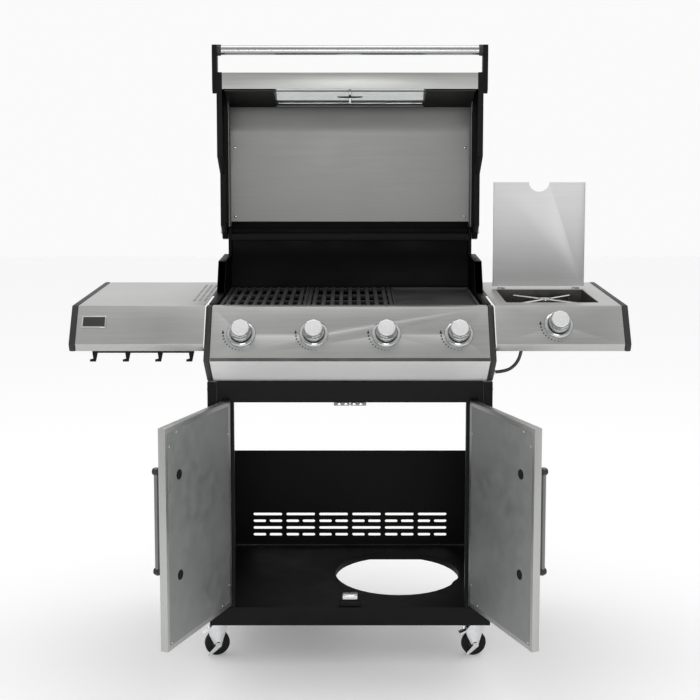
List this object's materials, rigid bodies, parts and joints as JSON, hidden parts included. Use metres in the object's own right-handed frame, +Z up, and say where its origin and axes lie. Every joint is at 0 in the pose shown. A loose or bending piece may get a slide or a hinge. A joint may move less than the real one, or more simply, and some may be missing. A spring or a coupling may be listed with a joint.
{
  "type": "gas barbecue grill",
  "caption": "Gas barbecue on a wheeled cabinet, with a hinged lid, grates, side shelves, a side burner under its own lid, and two doors.",
  "frame": {"origin": "on the ground under the middle of the part's box, with the lids and doors open", "axes": "+Z up, -Y towards the cook, +X along the shelves to the side burner"},
  "size_m": [1.33, 0.7748, 1.526],
  "materials": {
    "black_paint": "black powder-coated sheet steel",
    "stainless": "brushed stainless sheet",
    "chrome": "polished chrome plate",
    "dark_steel": "bare heat-darkened steel",
    "cast_iron": "matt enamelled cast iron",
    "black_plastic": "moulded heat-proof plastic",
    "black_rubber": "rubber gas hose",
    "wheel_rubber": "hard rubber caster wheel",
    "clear_glass": "tempered clear glass"
  },
  "bodies": {
    "cart": {"base_shelf": "black_paint", "side_panel_left": "black_paint", "side_panel_right": "black_paint", "front_frame": "black_paint", "back_panel": "black_paint", "firebox": "black_paint", "tool_hooks": "black_paint", "control_panel": "stainless", "shelf_left": "stainless", "shelf_right": "stainless", "pan_support": "chrome", "gas_manifold": "dark_steel", "burner_1": "dark_steel", "burner_2": "dark_steel", "burner_3": "dark_steel", "burner_4": "dark_steel", "heat_plate_left": "dark_steel", "heat_plate_right": "dark_steel", "grate_left": "cast_iron", "grate_middle": "cast_iron", "griddle": "cast_iron", "side_burner": "cast_iron", "panel_cap_left": "black_plastic", "panel_cap_right": "black_plastic", "shelf_cap_left": "black_plastic", "shelf_cap_right": "black_plastic", "gas_hose": "black_rubber"},
    "lid": {"lid_hood": "stainless", "lid_liner": "stainless", "lid_end_left": "black_paint", "lid_end_right": "black_paint", "lid_window": "clear_glass", "thermometer": "chrome", "lid_handle": "stainless"},
    "side_lid": {"side_burner_lid": "stainless"},
    "left_door": {"door_left": "stainless", "door_handle_left": "chrome"},
    "right_door": {"door_right": "stainless", "door_handle_right": "chrome"},
    "tray": {"grease_tray": "dark_steel"},
    "stem_1": {"valve_stem_1": "dark_steel"},
    "dial_1": {"knob_1": "chrome"},
    "stem_2": {"valve_stem_2": "dark_steel"},
    "dial_2": {"knob_2": "chrome"},
    "stem_3": {"valve_stem_3": "dark_steel"},
    "dial_3": {"knob_3": "chrome"},
    "stem_4": {"valve_stem_4": "dark_steel"},
    "dial_4": {"knob_4": "chrome"},
    "stem_side": {"valve_stem_side": "dark_steel"},
    "dial_side": {"knob_side": "chrome"},
    "caster_front_left": {"fork_front_left": "chrome"},
    "roller_front_left": {"wheel_front_left": "wheel_rubber"},
    "pedal_front_left": {"brake_front_left": "chrome"},
    "caster_front_right": {"fork_front_right": "chrome"},
    "roller_front_right": {"wheel_front_right": "wheel_rubber"},
    "pedal_front_right": {"brake_front_right": "chrome"},
    "caster_rear_left": {"fork_rear_left": "chrome"},
    "roller_rear_left": {"wheel_rear_left": "wheel_rubber"},
    "caster_rear_right": {"fork_rear_right": "chrome"},
    "roller_rear_right": {"wheel_rear_right": "wheel_rubber"}
  },
  "joints": [
    {"name": "lid_hinge", "type": "hinge", "parent": "cart", "child": "lid", "pos_m": [0, 0.34538, 1.03], "axis": [1, 0, 0], "range_deg": [0, 90]},
    {"name": "side_lid_hinge", "type": "hinge", "parent": "cart", "child": "side_lid", "pos_m": [0.493, 0.20338, 0.896], "axis": [1, 0, 0], "range_deg": [0, 90]},
    {"name": "left_door_hinge", "type": "hinge", "parent": "cart", "child": "left_door", "pos_m": [-0.3, -0.10862, 0.403], "axis": [0, 0, 1], "range_deg": [-10, 112.5]},
    {"name": "right_door_hinge", "type": "hinge", "parent": "cart", "child": "right_door", "pos_m": [0.3, -0.10862, 0.403], "axis": [0, 0, 1], "range_deg": [-112.5, 10]},
    {"name": "tray_slide", "type": "slide", "parent": "cart", "child": "tray", "axis": [0, 1, 0], "range_m": [0, 0.35]},
    {"name": "push_1", "type": "slide", "parent": "cart", "child": "stem_1", "axis": [0, 0.8342, -0.5514], "range_m": [0, 0.005], "stiffness_N_per_m": 800, "springref_m": -0.005},
    {"name": "turn_1", "type": "hinge", "parent": "stem_1", "child": "dial_1", "pos_m": [-0.259, -0.12362, 0.829], "axis": [0, -0.8342, 0.5514], "range_deg": [0, 225]},
    {"name": "push_2", "type": "slide", "parent": "cart", "child": "stem_2", "axis": [0, 0.8342, -0.5514], "range_m": [0, 0.005], "stiffness_N_per_m": 800, "springref_m": -0.005},
    {"name": "turn_2", "type": "hinge", "parent": "stem_2", "child": "dial_2", "pos_m": [-0.0863, -0.12362, 0.829], "axis": [0, -0.8342, 0.5514], "range_deg": [0, 225]},
    {"name": "push_3", "type": "slide", "parent": "cart", "child": "stem_3", "axis": [0, 0.8342, -0.5514], "range_m": [0, 0.005], "stiffness_N_per_m": 800, "springref_m": -0.005},
    {"name": "turn_3", "type": "hinge", "parent": "stem_3", "child": "dial_3", "pos_m": [0.0863, -0.12362, 0.829], "axis": [0, -0.8342, 0.5514], "range_deg": [0, 225]},
    {"name": "push_4", "type": "slide", "parent": "cart", "child": "stem_4", "axis": [0, 0.8342, -0.5514], "range_m": [0, 0.005], "stiffness_N_per_m": 800, "springref_m": -0.005},
    {"name": "turn_4", "type": "hinge", "parent": "stem_4", "child": "dial_4", "pos_m": [0.259, -0.12362, 0.829], "axis": [0, -0.8342, 0.5514], "range_deg": [0, 225]},
    {"name": "push_side", "type": "slide", "parent": "cart", "child": "stem_side", "axis": [0, 0.8503, -0.5264], "range_m": [0, 0.005], "stiffness_N_per_m": 800, "springref_m": -0.005},
    {"name": "turn_side", "type": "hinge", "parent": "stem_side", "child": "dial_side", "pos_m": [0.496, -0.12062, 0.85], "axis": [0, -0.8503, 0.5264], "range_deg": [0, 225]},
    {"name": "swivel_front_left", "type": "hinge", "parent": "cart", "child": "caster_front_left", "pos_m": [-0.321, -0.02862, 0.09], "axis": [0, 0, 1], "continuous": true},
    {"name": "roll_front_left", "type": "hinge", "parent": "caster_front_left", "child": "roller_front_left", "pos_m": [-0.33254, -0.03193, 0.031], "axis": [0.2756, -0.9613, 0], "continuous": true},
    {"name": "brake_pedal_front_left", "type": "hinge", "parent": "caster_front_left", "child": "pedal_front_left", "pos_m": [-0.34888, -0.03661, 0.063], "axis": [0.2756, -0.9613, 0], "range_deg": [0, 12], "stiffness_Nm_per_rad": 1, "springref_deg": -11.46},
    {"name": "swivel_front_right", "type": "hinge", "parent": "cart", "child": "caster_front_right", "pos_m": [0.321, -0.02862, 0.09], "axis": [0, 0, 1], "continuous": true},
    {"name": "roll_front_right", "type": "hinge", "parent": "caster_front_right", "child": "roller_front_right", "pos_m": [0.30931, -0.03132, 0.031], "axis": [0.225, -0.9744, 0], "continuous": true},
    {"name": "brake_pedal_front_right", "type": "hinge", "parent": "caster_front_right", "child": "pedal_front_right", "pos_m": [0.29274, -0.03514, 0.063], "axis": [0.225, -0.9744, 0], "range_deg": [0, 12], "stiffness_Nm_per_rad": 1, "springref_deg": -11.46},
    {"name": "swivel_rear_left", "type": "hinge", "parent": "cart", "child": "caster_rear_left", "pos_m": [-0.321, 0.33538, 0.09], "axis": [0, 0, 1], "continuous": true},
    {"name": "roll_rear_left", "type": "hinge", "parent": "caster_rear_left", "child": "roller_rear_left", "pos_m": [-0.33188, 0.33031, 0.031], "axis": [0.4226, -0.9063, 0], "continuous": true},
    {"name": "swivel_rear_right", "type": "hinge", "parent": "cart", "child": "caster_rear_right", "pos_m": [0.321, 0.33538, 0.09], "axis": [0, 0, 1], "continuous": true},
    {"name": "roll_rear_right", "type": "hinge", "parent": "caster_rear_right", "child": "roller_rear_right", "pos_m": [0.30918, 0.3333, 0.031], "axis": [0.1736, -0.9848, 0], "continuous": true}
  ]
}
